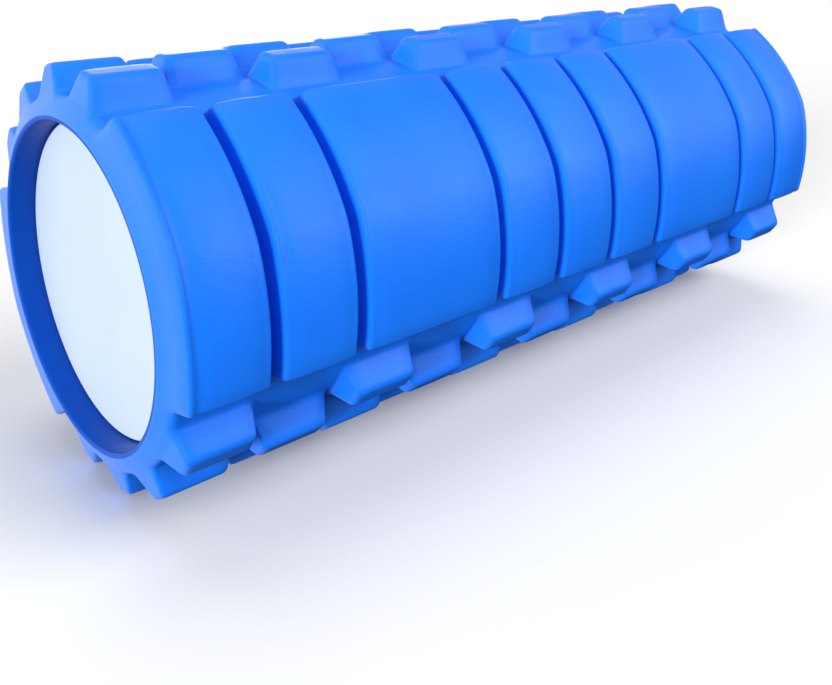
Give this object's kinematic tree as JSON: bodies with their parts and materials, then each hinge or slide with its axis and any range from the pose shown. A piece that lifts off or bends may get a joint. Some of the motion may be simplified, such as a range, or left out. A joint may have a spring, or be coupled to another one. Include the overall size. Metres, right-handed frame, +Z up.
{
  "type": "foam roller",
  "caption": "Hollow-core massage roller: a moulded foam sleeve with staggered blocks and broad grooved panels on a rigid tube closed by recessed end discs.",
  "frame": {"origin": "on the floor, under the middle of the roller lying on its side", "axes": "+X along the roller's axis, +Z up; the middle of one broad panel faces -Y and is tilted 22 degrees up"},
  "size_m": [0.33, 0.1324, 0.1344],
  "materials": {
    "eva_foam": "satin closed-cell moulded EVA foam",
    "core_plastic": "moulded black ABS",
    "cap_plastic": "smooth pale blue-white plastic"
  },
  "bodies": {
    "root": {"foam_sleeve": "eva_foam", "core_tube": "core_plastic", "end_cap_left": "cap_plastic", "end_cap_right": "cap_plastic"}
  },
  "joints": []
}
